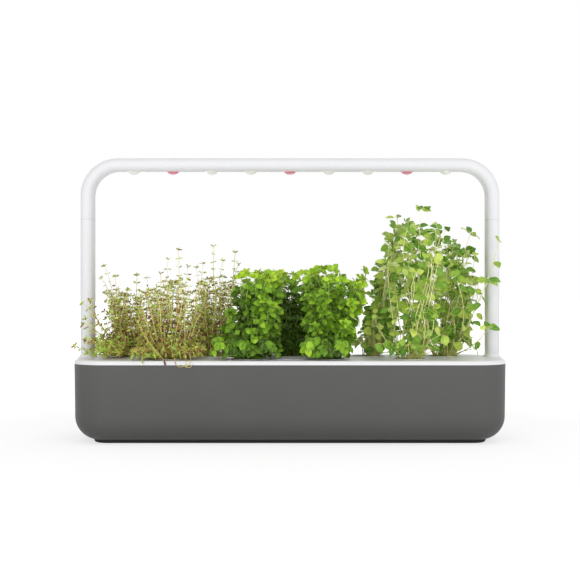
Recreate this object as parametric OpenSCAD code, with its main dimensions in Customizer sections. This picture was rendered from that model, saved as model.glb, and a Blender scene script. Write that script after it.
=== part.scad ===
// Countertop hydroponic garden: a water tank with a lid that carries nine plant pods,
// and a light arch that stands on two extension arms.
// Origin at the centre of the footprint, on the ground. +X is right, +Y back and +Z up; the front faces -Y.

/* [Overall] */
// Length of the tank and the lid, left to right
unit_length = 620; // [600:1:680]
// Depth of the tank and the lid, front to back
unit_depth = 185; // [182:1:215]
// Corner radius of the tank and the lid, seen from above
corner_radius = 50; // [45:1:60]

/* [Tank] */
// Height of the tank, from its flat bottom to its rim
tank_height = 109; // [100:1:140]
// Wall thickness of the tank
tank_wall = 2.6; // [2:0.1:3.5]
// Outer radius of the tank's bottom edge
tank_bottom_radius = 34; // [20:1:38]
// Draft of the tank's sides, in degrees
tank_draft = 0.9; // [0.3:0.1:1.5]
// Thickness of the pad that the tank stands on
pad_thickness = 4; // [4:0.5:8]
// How far the pad's edge reaches past the tank's flat bottom
pad_reach = 7; // [4:0.5:10]
// Radius of the pad's bottom edge
pad_edge_radius = 4; // [2:0.5:4]

/* [Lid] */
// Height of the lid's rim above the tank's rim
lid_height = 5.8; // [5:0.1:9]
// Thickness of the lid's top plate
lid_plate = 3; // [2:0.1:4]
// Radius of the lid's top edge
lid_edge_radius = 3.5; // [1:0.1:4.5]
// Width of the lid's rim, where it rests on the tank
rim_width = 5.4; // [4.5:0.1:7]
// Depth of the skirt below the tank's rim
skirt_depth = 8; // [4:0.5:14]
// Thickness of the skirt
skirt_wall = 2; // [1.5:0.1:3]
// Clearance between the skirt and the tank's wall
skirt_gap = 0.5; // [0.3:0.1:1]
// Depth of the long rib under the lid
rib_depth = 9; // [4:0.5:14]
// Thickness of the long rib
rib_wall = 2; // [1.5:0.1:3]
// Height of the two arm bosses above the lid's top plate
boss_height = 7.2; // [7:0.1:12]
// Radius of the hollow flare round the foot of each boss
flare_radius = 7; // [4:0.5:7]
// Wall of the arm sockets under the lid
socket_wall = 1.6; // [1.2:0.1:2.4]
// Clearance between an arm socket and the tank's wall
socket_gap = 1; // [0.6:0.1:2]
// Room under an arm's tenon in its socket
socket_spare = 2; // [1:0.5:5]
// Floor thickness of the arm sockets
socket_floor = 2; // [1.5:0.1:3]

/* [Arms] */
// Thickness of the arms and the arch, across the arch
arm_thickness = 18; // [16:0.5:20]
// Depth of the arms and the arch, front to back
arm_depth = 40; // [38:1:52]
// Wall of the arms and the arch
arm_wall = 2.2; // [1.8:0.1:3]
// Length of an extension arm between its shoulder and its top
extension_length = 196; // [120:1:230]
// Length of the tenon under each arm
tenon_length = 22; // [16:1:30]
// Wall of the tenon
tenon_wall = 1.8; // [1.2:0.1:2.4]
// Clearance round a tenon in its socket
tenon_gap = 0.3; // [0.2:0.05:0.5]
// Thickness of the shoulder plate that closes an arm above its tenon
shoulder_plate = 2.5; // [1.5:0.1:4]
// Depth of the seam round each end of an extension arm
seam_depth = 0.4; // [0.2:0.1:0.8]
// Height of that seam
seam_height = 0.5; // [0.3:0.1:1]

/* [Lamp] */
// Height of the lamp from its shoulders to its top
lamp_rise = 89.4; // [80:0.1:120]
// Outer radius of the arch's two bends
arch_radius = 55; // [44:1:62]
// Width of the strip that closes the arch from below
cover_width = 21; // [20:0.5:22]
// Thickness of the strip
cover_thickness = 1.2; // [0.8:0.1:1.6]
// Width of the ledge that the strip lies on
cover_ledge = 1.7; // [1:0.1:2]
// Clearance along each side of the strip
cover_gap = 0.15; // [0.1:0.05:0.3]
// Radius of a lens dome
lens_radius = 9.2; // [8:0.1:10]
// How far a lens dome hangs below the arch
lens_drop = 5.5; // [4:0.1:7]
// Radius of a lens flange
flange_radius = 11; // [10.5:0.1:12]
// Thickness of a lens flange
flange_thickness = 0.7; // [0.5:0.1:1.2]
// Radius of a lens stem, which goes up through the strip
stem_radius = 6.5; // [5:0.1:7]
// Clearance round a lens stem in the strip
stem_gap = 0.15; // [0.1:0.05:0.3]
// Height of a lens stem above the strip's lower face
stem_height = 3.4; // [2.5:0.1:4]
// Space between the arch's lower wall and the circuit board
board_space = 4; // [3.2:0.1:5]
// Width of the circuit board
board_width = 20; // [14:0.5:22]
// Thickness of the circuit board
board_thickness = 1.2; // [0.8:0.1:2]
// Clearance between the circuit board's ends and the start of the bends
board_end_gap = 3; // [1:0.5:10]
// Side of a square light-emitting diode
led_side = 3.5; // [2.8:0.1:5]
// Height of a light-emitting diode
led_height = 1.5; // [1:0.1:2]
// Radius of the posts that carry the circuit board
post_radius = 3.2; // [2.5:0.1:4]
// Radius of a board screw's thread
screw_radius = 1; // [0.8:0.05:1.4]
// Radius of a board screw's head
screw_head_radius = 2.3; // [1.8:0.1:2.8]
// Height of a board screw's head
screw_head_height = 1.6; // [1:0.1:2]
// How far a board screw goes into its post
screw_depth = 5; // [3:0.5:5.5]
// Clearance round a board screw
screw_gap = 0.05; // [0.03:0.01:0.2]

/* [Power] */
// Height of the power inlet's axis above the lamp's shoulder
inlet_height = 12; // [10:0.5:14]
// Outer radius of the inlet's round mouth
inlet_radius = 4; // [3.8:0.1:4.6]
// Radius of the hole that a power plug goes into
jack_radius = 2.8; // [2.6:0.05:3]
// Depth of the hole that a power plug goes into
jack_depth = 9.5; // [8:0.5:11]
// Radius of the inlet's centre pin
jack_pin_radius = 1; // [0.8:0.05:1.3]
// Height of the power button's axis above the lamp's shoulder
button_height = 28; // [26:0.5:32]
// Radius of the power button
button_radius = 3.5; // [3:0.1:4]
// How far the power button stands out
button_proud = 0.8; // [0.4:0.1:1.5]
// Travel of the power button
button_travel = 1.2; // [0.8:0.1:1.6]
// Clearance round the power button in its guide
button_gap = 0.1; // [0.05:0.01:0.2]
// Wall of the power button's guide tube
guide_wall = 1.5; // [1:0.1:1.9]
// Length of the guide tube, from the arm's rear face inwards
guide_length = 11; // [8:0.5:12]

/* [Pods] */
// Number of pods, in two staggered rows
pod_count = 9; // [9]
// Distance of the first and the last pod from the ends of the lid
pod_margin = 80; // [77:0.5:84]
// Distance of each row of pods from the middle of the lid
row_offset = 35; // [32:0.5:37]
// Radius of a pod's hole in the lid
pod_radius = 25; // [20:0.5:26]
// Clearance round a cup in its hole
cup_gap = 0.6; // [0.4:0.1:1]
// Width of a cup's flange, where it rests on the lid
cup_flange = 3; // [2:0.1:4]
// Thickness of a cup's flange
cup_flange_thickness = 1.8; // [1.2:0.1:3]
// Depth of the recess in the lid that takes a cup's flange
cup_recess = 1; // [0.5:0.1:1.5]
// Clearance round a cup's flange in its recess
recess_gap = 0.5; // [0.3:0.1:1]
// Depth of a cup below the lid's top plate
cup_depth = 46; // [38:1:56]
// Outer radius of a cup's bottom
cup_bottom_radius = 17.5; // [14:0.5:19]
// Wall thickness of a cup
cup_wall = 1.5; // [1:0.1:2]
// Number of windows round a cup
window_count = 6; // [3:1:8]
// Width of a window
window_width = 7; // [3:0.5:9]
// Solid height of a cup's wall below and above its windows
window_margin = 9; // [6:0.5:13]
// Gap between the soil plug and its cup
soil_gap = 0.4; // [0.3:0.1:1]
// Depth of the soil below the lid's top plate
soil_depth = 1; // [0.5:0.5:4]
// Radius of a wick
wick_radius = 3; // [2:0.1:4]
// Clearance round a wick
wick_gap = 0.15; // [0.1:0.05:0.4]
// Height of the wicks' lower ends above the tank's floor
wick_clearance = 7; // [4:0.5:20]
// Length of a wick inside the soil plug
wick_grip = 14; // [8:1:24]

/* [Fill opening and float] */
// Length of the opening for water
fill_length = 52; // [46:1:54]
// Width of the opening for water
fill_width = 20; // [18:0.5:22]
// Distance of the opening's middle from the middle of the lid, to the front
fill_offset = 52; // [50:0.5:56]
// Length of the float, along the opening
float_length = 20; // [16:0.5:21]
// Width of the float
float_width = 16; // [12:0.5:18]
// Height of the float's body
float_height = 18; // [12:0.5:20]
// Radius of the float's indicator
indicator_radius = 3; // [2:0.1:4]
// Travel of the float between an empty and a full tank
float_travel = 22; // [14:0.5:26]
// How far the indicator stands above the lid when the tank is full
indicator_proud = 1.2; // [0.5:0.1:3]
// Clearance between the float and its cage
float_gap = 0.5; // [0.3:0.1:1]
// Clearance between the floating float and the lid
float_head_gap = 1.8; // [1:0.1:3]
// Wall of the float's cage
cage_wall = 1.2; // [1:0.1:2]
// Radius of the drain hole in the cage's floor
drain_radius = 4; // [2:0.5:6]

/* [Plants] */
// Height of the low crowns in the left three pods, above the lid
thyme_height = 108; // [90:1:125]
// Height of the bushy crowns in the middle three pods, above the lid
basil_height = 126; // [100:1:150]
// Space between the tall crowns in the right three pods and the lamps
oregano_headroom = 74; // [65:1:110]
// Radius of a sprig's tip, above a crown
sprig_radius = 4; // [2:0.5:6]
// Radius of a plant's stems where they leave the soil
stem_cluster_radius = 12; // [8:0.5:16]
// How far a crown leans out from its pod, to the front or to the back
crown_lean = 10; // [6:0.5:12]
// Half of the clear space between neighbouring crowns
crown_gap = 2; // [1:0.5:6]
// Height of a plant's foot above the soil
plant_gap = 0.3; // [0.2:0.1:1]

/* [Hidden] */

smooth = 96; // fragments of a full circle
overcut = 1; // how far a cut runs past the face that it opens

// Heights
tank_z = pad_thickness;
rim_z = tank_z + tank_height;
lid_z = rim_z + lid_height;
plate_z = lid_z - lid_plate;
boss_z = lid_z + boss_height;
lamp_z = boss_z + extension_length;
lamp_top_z = lamp_z + lamp_rise;
bar_z = lamp_top_z - arm_thickness / 2;
bar_bottom_z = lamp_top_z - arm_thickness;
lens_tip_z = bar_bottom_z - lens_drop;
board_z = bar_bottom_z + arm_wall + board_space;

// Section of the arms: a flat-sided bar with a half round at its front and its back
arm_flat = arm_depth - arm_thickness;
bore_radius = arm_thickness / 2 - arm_wall;
tenon_radius = bore_radius - tenon_gap;

// Where the arms stand: their sockets keep clear of the tank's wall
arm_x = unit_length / 2 - tank_wall - socket_gap - socket_wall - bore_radius;
arm_inner_x = arm_x - arm_thickness / 2;
socket_depth = tenon_length + socket_spare;

// Centre line of the arch's bends
bend_radius = arch_radius - arm_thickness / 2;
bend_x = arm_x - bend_radius;
bend_z = bar_z - bend_radius;

// Pods alternate between the back row and the front row, the first one at the back
pod_pitch = (unit_length - 2 * pod_margin) / (pod_count - 1);
function pod_x(pod) = (pod - (pod_count + 1) / 2) * pod_pitch;
function pod_side(pod) = pod % 2 == 1 ? 1 : -1;
function pod_y(pod) = pod_side(pod) * row_offset;
cup_bottom_z = lid_z - cup_depth;
cup_top_radius = pod_radius - cup_gap;
flange_z = lid_z - cup_recess;
soil_z = lid_z - soil_depth;
wick_bottom_z = tank_z + tank_wall + wick_clearance;
wick_top_z = cup_bottom_z + cup_wall + wick_grip;
function is_red(pod) = pod % 3 == 2;

// Circuit board: its posts stand half-way between two lenses
board_length = 2 * (bend_x - board_end_gap);
post_x = [for (side = [-1, 1], step = [0.5, 3.5]) side * step * pod_pitch];

// The power inlet and the button sit in the rear of the lamp's right leg
arm_rear_y = arm_depth / 2;
inlet_z = lamp_z + inlet_height;
button_z = lamp_z + button_height;
guide_y = arm_rear_y - guide_length;

// The float rides at the left end of the opening
float_x = -(fill_length - float_length) / 2 + float_gap + cage_wall;
float_top_z = plate_z - float_head_gap - float_travel;
float_z = float_top_z - float_height;
indicator_top_z = lid_z + indicator_proud - float_travel;

// Tank's edge profile, inset by a wall, from the axis of a corner outwards and up to height top_z
function side_x(inset, z) = corner_radius - inset - (rim_z - z) * tan(tank_draft);
function edge_radius(inset) = tank_bottom_radius - inset;
function edge_x(inset) =
    side_x(inset, tank_z + tank_bottom_radius) - edge_radius(inset) / cos(tank_draft);
module tank_profile(inset, top_z) {
    bottom_z = tank_z + inset;
    edge_z = tank_z + tank_bottom_radius;
    polygon([
        [0, bottom_z],
        [edge_x(inset), bottom_z],
        [edge_x(inset), edge_z],
        [edge_x(inset) + edge_radius(inset) * cos(tank_draft), edge_z - edge_radius(inset) * sin(tank_draft)],
        [side_x(inset, top_z), top_z],
        [0, top_z]]);
    intersection() {
        translate([edge_x(inset), edge_z]) circle(edge_radius(inset), $fn = smooth);
        translate([edge_x(inset), bottom_z]) square(edge_radius(inset));
    }
}

// A tray-shaped solid: the edge profile given as a child runs round its four corners and four sides.
// The profile starts on the corner's axis, and the core between the sides reaches from low_z to high_z.
module tray(length, depth, radius, low_z, high_z) {
    corner_x = length / 2 - radius;
    corner_y = depth / 2 - radius;
    for (quarter = [0:3])
        translate([quarter == 0 || quarter == 3 ? corner_x : -corner_x, quarter < 2 ? corner_y : -corner_y, 0])
            rotate([0, 0, 90 * quarter]) rotate_extrude(angle = 90, $fn = smooth) children();
    for (side = [0, 1]) {
        mirror([0, side, 0]) translate([-corner_x, corner_y, 0])
            rotate([90, 0, 90]) linear_extrude(2 * corner_x) children();
        mirror([side, 0, 0]) translate([corner_x, corner_y, 0])
            rotate([90, 0, 0]) linear_extrude(2 * corner_y) children();
    }
    translate([-corner_x, -corner_y, low_z]) cube([2 * corner_x, 2 * corner_y, high_z - low_z]);
}

// A tray with straight walls
module block(length, depth, radius, low_z, high_z) {
    tray(length, depth, radius, low_z, high_z)
        translate([0, low_z]) square([radius, high_z - low_z]);
}

// The outline of a bar with round ends, along Y
module stadium(radius, flat) {
    square([2 * radius, flat], center = true);
    for (end = [-1, 1]) translate([0, end * flat / 2]) circle(radius, $fn = smooth);
}

// Runs a section along the arch. The section's x points out of the arch, and its y along Y.
module arch(leg_bottom_z) {
    for (side = [0, 1]) mirror([side, 0, 0]) {
        if (leg_bottom_z < bend_z)
            translate([arm_x, 0, leg_bottom_z]) linear_extrude(bend_z - leg_bottom_z) children();
        translate([bend_x, 0, bend_z]) rotate([90, 0, 0])
            rotate_extrude(angle = 90, $fn = smooth) translate([bend_radius, 0]) children();
    }
    translate([-bend_x, 0, bar_z]) rotate([90, 0, 90]) linear_extrude(2 * bend_x) rotate(90) children();
}

// A strip in the arch's inner wall, from its inner face to a depth
module wall_strip(width, from, to) {
    translate([-arm_thickness / 2 + from, -width / 2]) square([to - from, width]);
}

// A hollow tenon that hangs below a shoulder
module tenon(shoulder_z) {
    translate([0, 0, shoulder_z - tenon_length]) difference() {
        linear_extrude(tenon_length) stadium(tenon_radius, arm_flat);
        translate([0, 0, -overcut]) linear_extrude(tenon_length + overcut)
            stadium(tenon_radius - tenon_wall, arm_flat);
    }
}

module water_tank() {
    color("dimgray") difference() {
        tray(unit_length, unit_depth, corner_radius, tank_z, rim_z) tank_profile(0, rim_z);
        tray(unit_length, unit_depth, corner_radius, tank_z + tank_wall, rim_z + overcut)
            tank_profile(tank_wall, rim_z + overcut);
    }
}

// The pad follows the tank's rounded bottom edge
module base_pad() {
    pad_radius = edge_x(0) + pad_reach;
    edge_z = tank_z + tank_bottom_radius;
    straight_x = unit_length - 2 * corner_radius;
    straight_y = unit_depth - 2 * corner_radius;
    color("#3a3a3a") tray(straight_x + 2 * pad_radius, straight_y + 2 * pad_radius, pad_radius, 0, tank_z)
        difference() {
            union() {
                square([pad_radius - pad_edge_radius, edge_z]);
                translate([0, pad_edge_radius]) square([pad_radius, edge_z - pad_edge_radius]);
                translate([pad_radius - pad_edge_radius, pad_edge_radius]) intersection() {
                    circle(pad_edge_radius, $fn = smooth);
                    translate([0, -pad_edge_radius]) square(pad_edge_radius);
                }
            }
            translate([0, tank_z]) square([edge_x(0), tank_bottom_radius + overcut]);
            translate([edge_x(0), edge_z]) circle(tank_bottom_radius, $fn = smooth);
        }
}

// Edge profile of the lid's top
module lid_profile() {
    square([corner_radius - lid_edge_radius, lid_height]);
    square([corner_radius, lid_height - lid_edge_radius]);
    translate([corner_radius - lid_edge_radius, lid_height - lid_edge_radius]) intersection() {
        circle(lid_edge_radius, $fn = smooth);
        square(lid_edge_radius);
    }
}

// Boss with a hollow flare round its foot
module arm_boss() {
    module profile() {
        foot = arm_thickness / 2 + flare_radius;
        difference() {
            translate([0, -lid_plate]) square([foot, lid_plate + boss_height]);
            translate([foot, flare_radius]) circle(flare_radius, $fn = smooth);
            translate([arm_thickness / 2, flare_radius]) square([flare_radius + overcut, boss_height]);
        }
    }
    translate([0, 0, lid_z]) {
        for (end = [0, 1]) mirror([0, end, 0]) translate([0, arm_flat / 2, 0])
            rotate_extrude(angle = 180, $fn = smooth) profile();
        for (side = [0, 1]) mirror([side, 0, 0]) translate([0, arm_flat / 2, 0])
            rotate([90, 0, 0]) linear_extrude(arm_flat) profile();
    }
}

module arm_socket() {
    translate([0, 0, boss_z - socket_depth - socket_floor])
        linear_extrude(socket_depth + socket_floor - boss_height - overcut)
            stadium(bore_radius + socket_wall, arm_flat);
}

module lid() {
    skirt_inset = tank_wall + skirt_gap;
    skirt_radius = corner_radius - skirt_inset;
    room_inset = rim_width;
    room_radius = corner_radius - room_inset;
    color("white") difference() {
        union() {
            intersection() {
                block(unit_length, unit_depth, corner_radius, rim_z, boss_z);
                for (side = [-1, 1]) translate([side * arm_x, 0, 0]) arm_boss();
            }
            difference() {
                union() {
                    translate([0, 0, rim_z])
                        tray(unit_length, unit_depth, corner_radius, 0, lid_height) lid_profile();
                    block(unit_length - 2 * skirt_inset, unit_depth - 2 * skirt_inset, skirt_radius,
                        rim_z - skirt_depth, rim_z + overcut);
                }
                block(unit_length - 2 * skirt_inset - 2 * skirt_wall, unit_depth - 2 * skirt_inset - 2 * skirt_wall,
                    skirt_radius - skirt_wall, rim_z - skirt_depth - overcut, rim_z + overcut / 2);
                block(unit_length - 2 * room_inset, unit_depth - 2 * room_inset, room_radius, rim_z, plate_z);
            }
            for (side = [-1, 1]) translate([side * arm_x, 0, 0]) arm_socket();
            translate([-arm_inner_x, -rib_wall / 2, plate_z - rib_depth])
                cube([2 * arm_inner_x, rib_wall, rib_depth + lid_plate / 2]);
        }
        for (side = [-1, 1]) translate([side * arm_x, 0, boss_z - socket_depth])
            linear_extrude(socket_depth + overcut) stadium(bore_radius, arm_flat);
        for (pod = [1:pod_count]) translate([pod_x(pod), pod_y(pod), 0]) {
            translate([0, 0, plate_z - overcut]) cylinder(lid_plate + 2 * overcut, r = pod_radius, $fn = smooth);
            translate([0, 0, flange_z])
                cylinder(cup_recess + overcut, r = cup_top_radius + cup_flange + recess_gap, $fn = smooth);
        }
        translate([0, -fill_offset, plate_z - overcut]) linear_extrude(lid_plate + 2 * overcut)
            rotate(90) stadium(fill_width / 2, fill_length - fill_width);
    }
}

// Sleeve under the lid that guides the float
module float_cage() {
    room = [float_length + 2 * float_gap, float_width + 2 * float_gap];
    outside = [room.x + 2 * cage_wall, room.y + 2 * cage_wall];
    wall_height = plate_z - float_z;
    color("gainsboro") translate([float_x, -fill_offset, float_z]) difference() {
        translate([-outside.x / 2, -outside.y / 2, -cage_wall])
            cube([outside.x, outside.y, wall_height + cage_wall]);
        translate([-room.x / 2, -room.y / 2, 0]) cube([room.x, room.y, wall_height + overcut]);
        translate([0, 0, -cage_wall - overcut]) cylinder(cage_wall + 2 * overcut, r = drain_radius, $fn = smooth);
        for (slot = [-1, 1]) translate([slot * room.x / 4 - room.x / 12, -outside.y / 2 - overcut, cage_wall])
            cube([room.x / 6, outside.y + 2 * overcut, float_height]);
    }
}

module float() {
    color("orange") translate([float_x, -fill_offset, float_z]) {
        translate([-float_length / 2, -float_width / 2, 0]) cube([float_length, float_width, float_height]);
        cylinder(indicator_top_z - float_z, r = indicator_radius, $fn = smooth);
    }
}

// A hollow arm with a shallow seam round its foot and its top
module extension_arm(side) {
    color("white") translate([side * arm_x, 0, 0]) {
        difference() {
            translate([0, 0, boss_z]) union() {
                linear_extrude(extension_length) stadium(arm_thickness / 2 - seam_depth, arm_flat);
                translate([0, 0, seam_height]) linear_extrude(extension_length - 2 * seam_height)
                    stadium(arm_thickness / 2, arm_flat);
            }
            translate([0, 0, boss_z + shoulder_plate]) linear_extrude(extension_length)
                stadium(bore_radius, arm_flat);
        }
        tenon(boss_z);
    }
}

module lamp_shell() {
    slot_width = cover_width - 2 * cover_ledge;
    color("white") difference() {
        union() {
            difference() {
                arch(lamp_z) stadium(arm_thickness / 2, arm_flat);
                arch(lamp_z + shoulder_plate) stadium(bore_radius, arm_flat);
                arch(bend_z) wall_strip(cover_width, -overcut, cover_thickness);
                arch(bend_z) wall_strip(slot_width, 0, arm_wall + overcut);
            }
            for (x = post_x) translate([x, 0, board_z + board_thickness])
                cylinder(lamp_top_z - arm_wall / 2 - board_z - board_thickness, r = post_radius, $fn = smooth);
            intersection() {
                translate([arm_x, 0, 0]) linear_extrude(bend_z) stadium((arm_thickness - arm_wall) / 2, arm_flat);
                translate([arm_x, guide_y, button_z]) rotate([-90, 0, 0])
                    cylinder(guide_length, r = button_radius + button_gap + guide_wall, $fn = smooth);
            }
            for (side = [-1, 1]) translate([side * arm_x, 0, 0]) tenon(lamp_z);
        }
        for (x = post_x) translate([x, 0, board_z])
            cylinder(board_thickness + screw_depth + screw_gap, r = screw_radius + screw_gap, $fn = smooth);
        translate([arm_x, guide_y - overcut, button_z]) rotate([-90, 0, 0])
            cylinder(guide_length + 2 * overcut, r = button_radius + button_gap, $fn = smooth);
        translate([arm_x, arm_flat / 2, inlet_z]) rotate([-90, 0, 0])
            cylinder(arm_thickness, r = inlet_radius + button_gap, $fn = smooth);
    }
}

module lamp_cover() {
    color("whitesmoke") difference() {
        arch(bend_z) wall_strip(cover_width - 2 * cover_gap, 0, cover_thickness);
        for (pod = [1:pod_count]) translate([pod_x(pod), 0, bar_bottom_z - overcut])
            cylinder(cover_thickness + 2 * overcut, r = stem_radius + stem_gap, $fn = smooth);
    }
}

// A domed lens: a stem through the strip, a thin flange against it and a dome below
module lens() {
    dome_height = lens_drop - flange_thickness;
    translate([0, 0, -flange_thickness]) {
        cylinder(flange_thickness, r = flange_radius, $fn = smooth);
        cylinder(flange_thickness + stem_height, r = stem_radius, $fn = smooth);
        rotate_extrude($fn = smooth) intersection() {
            translate([0, flange_thickness + (pow(lens_radius, 2) - pow(dome_height, 2)) / (2 * dome_height)
                - flange_thickness])
                circle((pow(lens_radius, 2) + pow(dome_height, 2)) / (2 * dome_height), $fn = 2 * smooth);
            translate([0, -dome_height]) square([lens_radius, dome_height + flange_thickness / 2]);
        }
    }
}

module lenses(red) {
    for (pod = [1:pod_count]) if (is_red(pod) == red)
        translate([pod_x(pod), 0, bar_bottom_z]) lens();
}
module lenses_clear() { color("#e4e4de") lenses(false); }
module lenses_red() { color("#c85a6e") lenses(true); }

module led_board() {
    color("seagreen") difference() {
        translate([-board_length / 2, -board_width / 2, board_z])
            cube([board_length, board_width, board_thickness]);
        for (x = post_x) translate([x, 0, board_z - overcut])
            cylinder(board_thickness + 2 * overcut, r = screw_radius + 2 * screw_gap, $fn = smooth);
    }
}

module leds(red) {
    for (pod = [1:pod_count]) if (is_red(pod) == red)
        translate([pod_x(pod) - led_side / 2, -led_side / 2, board_z - led_height])
            cube([led_side, led_side, led_height]);
}
module leds_white() { color("lightyellow") leds(false); }
module leds_red() { color("firebrick") leds(true); }

module board_screws() {
    color("silver") for (x = post_x) translate([x, 0, board_z]) {
        translate([0, 0, -screw_head_height]) cylinder(screw_head_height, r = screw_head_radius, $fn = smooth);
        cylinder(board_thickness + screw_depth, r = screw_radius, $fn = smooth);
    }
}

// Driver board with its capacitor, its coil and the switch behind the power button
module driver_module() {
    switch_side = 7;
    switch_y = guide_y - 1.2 - 2 * button_travel;
    board = [1.2, switch_y + arm_flat / 2, 30];
    board_x = arm_x - bore_radius + 0.4;
    floor_z = lamp_z + shoulder_plate;
    color("darkgreen") {
        translate([board_x, switch_y - board.y, floor_z]) cube(board);
        translate([board_x, switch_y - switch_side, button_z - switch_side / 2])
            cube([arm_x + switch_side / 2 - board_x, switch_side, switch_side]);
        translate([board_x + board.x / 2, switch_y - board.y + 5, floor_z + 8]) rotate([0, 90, 0])
            cylinder(9, r = 4, $fn = smooth);
        translate([board_x + board.x / 2, switch_y - board.y + 2, floor_z + 16]) cube([7, 8, 8]);
    }
}

// Barrel socket for the power plug: its mouth is flush with the rear of the arm
module dc_inlet() {
    body = [9, 11, 10];
    body_y = arm_flat / 2 + sqrt(pow(bore_radius, 2) - pow(body.x / 2, 2)) - 0.3;
    mouth_y = arm_flat / 2 + sqrt(pow(arm_thickness / 2, 2) - pow(inlet_radius, 2));
    color("#202020") translate([arm_x, 0, inlet_z]) {
        difference() {
            union() {
                translate([-body.x / 2, body_y - body.y, -body.z / 2]) cube(body);
                translate([0, body_y - 1, 0]) rotate([-90, 0, 0])
                    cylinder(mouth_y - body_y + 1, r = inlet_radius, $fn = smooth);
            }
            translate([0, mouth_y - jack_depth, 0]) rotate([-90, 0, 0])
                cylinder(jack_depth + overcut, r = jack_radius, $fn = smooth);
        }
        translate([0, mouth_y - jack_depth - 1, 0]) rotate([-90, 0, 0])
            cylinder(jack_depth, r = jack_pin_radius, $fn = smooth);
        translate([-body.x / 2, body_y - body.y + 1, shoulder_plate - inlet_height])
            cube([body.x, 2, inlet_height - shoulder_plate]);
    }
}

module power_button() {
    flange = 1.2;
    color("whitesmoke") translate([arm_x, guide_y, button_z]) rotate([-90, 0, 0]) {
        cylinder(guide_length + button_proud, r = button_radius, $fn = smooth);
        translate([0, 0, -flange]) cylinder(flange, r = button_radius + guide_wall, $fn = smooth);
    }
}

// A tapered cup with windows in its wall, hung in the lid by its flange
module cup(pod) {
    wall_top_z = flange_z + cup_flange_thickness;
    window_height = cup_depth - cup_recess - cup_wall - 2 * window_margin;
    color("whitesmoke") translate([pod_x(pod), pod_y(pod), 0]) difference() {
        union() {
            translate([0, 0, cup_bottom_z]) cylinder(flange_z - cup_bottom_z,
                r1 = cup_bottom_radius, r2 = cup_top_radius, $fn = smooth);
            translate([0, 0, flange_z])
                cylinder(cup_flange_thickness, r = cup_top_radius + cup_flange, $fn = smooth);
        }
        translate([0, 0, cup_bottom_z + cup_wall]) cylinder(flange_z - cup_bottom_z - cup_wall,
            r1 = cup_bottom_radius - cup_wall, r2 = cup_top_radius - cup_wall, $fn = smooth);
        translate([0, 0, flange_z]) cylinder(wall_top_z - flange_z + overcut,
            r = cup_top_radius - cup_wall, $fn = smooth);
        translate([0, 0, cup_bottom_z - overcut])
            cylinder(cup_wall + 2 * overcut, r = wick_radius + wick_gap, $fn = smooth);
        for (window = [1:window_count]) rotate([0, 0, window * 360 / window_count])
            translate([cup_bottom_radius / 2, -window_width / 2, cup_bottom_z + cup_wall + window_margin])
                cube([cup_top_radius, window_width, window_height]);
    }
}

// Growing medium, with a hole for the wick
module soil_plug(pod) {
    low_z = cup_bottom_z + cup_wall;
    low_radius = cup_bottom_radius - cup_wall - soil_gap;
    high_radius = cup_top_radius - cup_wall - soil_gap;
    color("#4a3526") translate([pod_x(pod), pod_y(pod), 0]) difference() {
        union() {
            translate([0, 0, low_z]) cylinder(flange_z - low_z, r1 = low_radius, r2 = high_radius, $fn = smooth);
            if (soil_z > flange_z)
                translate([0, 0, flange_z]) cylinder(soil_z - flange_z, r = high_radius, $fn = smooth);
        }
        translate([0, 0, low_z - overcut])
            cylinder(wick_grip + overcut, r = wick_radius + wick_gap, $fn = smooth);
        translate([0, 0, soil_z]) cylinder(overcut + cup_recess, r = cup_top_radius, $fn = smooth);
    }
}

module wick(pod) {
    color("ivory") translate([pod_x(pod), pod_y(pod), wick_bottom_z])
        cylinder(wick_top_z - wick_bottom_z, r = wick_radius, $fn = smooth);
}

// A crown is a list of lobes, the lowest first. A lobe is [x, y, z, half width, half depth, half height]:
// x and the half width are shares of the plant's room along the lid, y (towards its long edge) and the
// half depth shares of its room across the lid, and z and the half height shares of the crown's height.
thyme = [[0, 0, 0.28, 0.72, 0.7, 0.26], [0, 0, 0.7, 0.8, 0.78, 0.3]];
corner_thyme = [[-0.1, -0.3, 0.3, 0.72, 0.85, 0.27], [-0.2, -0.6, 0.7, 0.68, 1.1, 0.3]];
basil = [[0, 0, 0.26, 0.78, 0.76, 0.23], [0, 0, 0.68, 0.86, 0.84, 0.32]];
leaning_oregano = [[-0.05, 0, 0.2, 0.66, 0.66, 0.18], [0.35, 0, 0.62, 0.42, 0.6, 0.2],
    [0.68, 0, 0.9, 0.22, 0.3, 0.1]];
oregano = [[-0.08, 0, 0.2, 0.68, 0.64, 0.18], [0, 0, 0.62, 0.66, 0.72, 0.2],
    [0.36, 0.1, 0.9, 0.45, 0.55, 0.1]];
corner_oregano = [[0.05, -0.1, 0.2, 0.68, 0.66, 0.18], [0.28, -0.45, 0.6, 0.68, 1.05, 0.2],
    [0.5, -0.9, 0.86, 0.42, 0.7, 0.14]];

// Each plant is [height of its crown above the lid, its crown, the tips of its sprigs as shares like a lobe's]
oregano_height = lens_tip_z - oregano_headroom - lid_z;
plants = [
    [0.92 * thyme_height, corner_thyme, [[-0.8, -0.2, 1.32], [0.05, -0.2, 1.2]]],
    [thyme_height, thyme, [[0.2, 0, 1.43], [0.8, 0, 1.25], [-0.24, 0, 1.12]]],
    [1.1 * thyme_height, thyme, [[0, 0, 1.37], [0.58, 0, 1.3], [-0.48, 0.1, 1.1]]],
    [basil_height, basil, []],
    [0.97 * basil_height, basil, []],
    [1.05 * basil_height, basil, []],
    [0.93 * oregano_height, leaning_oregano, [[0.85, 0, 1.14], [-0.2, 0, 0.5]]],
    [oregano_height, oregano, [[0.32, 0, 1.1], [-0.57, 0, 0.72]]],
    [0.93 * oregano_height, corner_oregano, [[0.72, -0.5, 1.04], [0.28, -0.4, 0.96]]]];
function reach_x(pod) = min(pod_pitch - crown_gap, arm_inner_x - abs(pod_x(pod)) - crown_gap);
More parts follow.
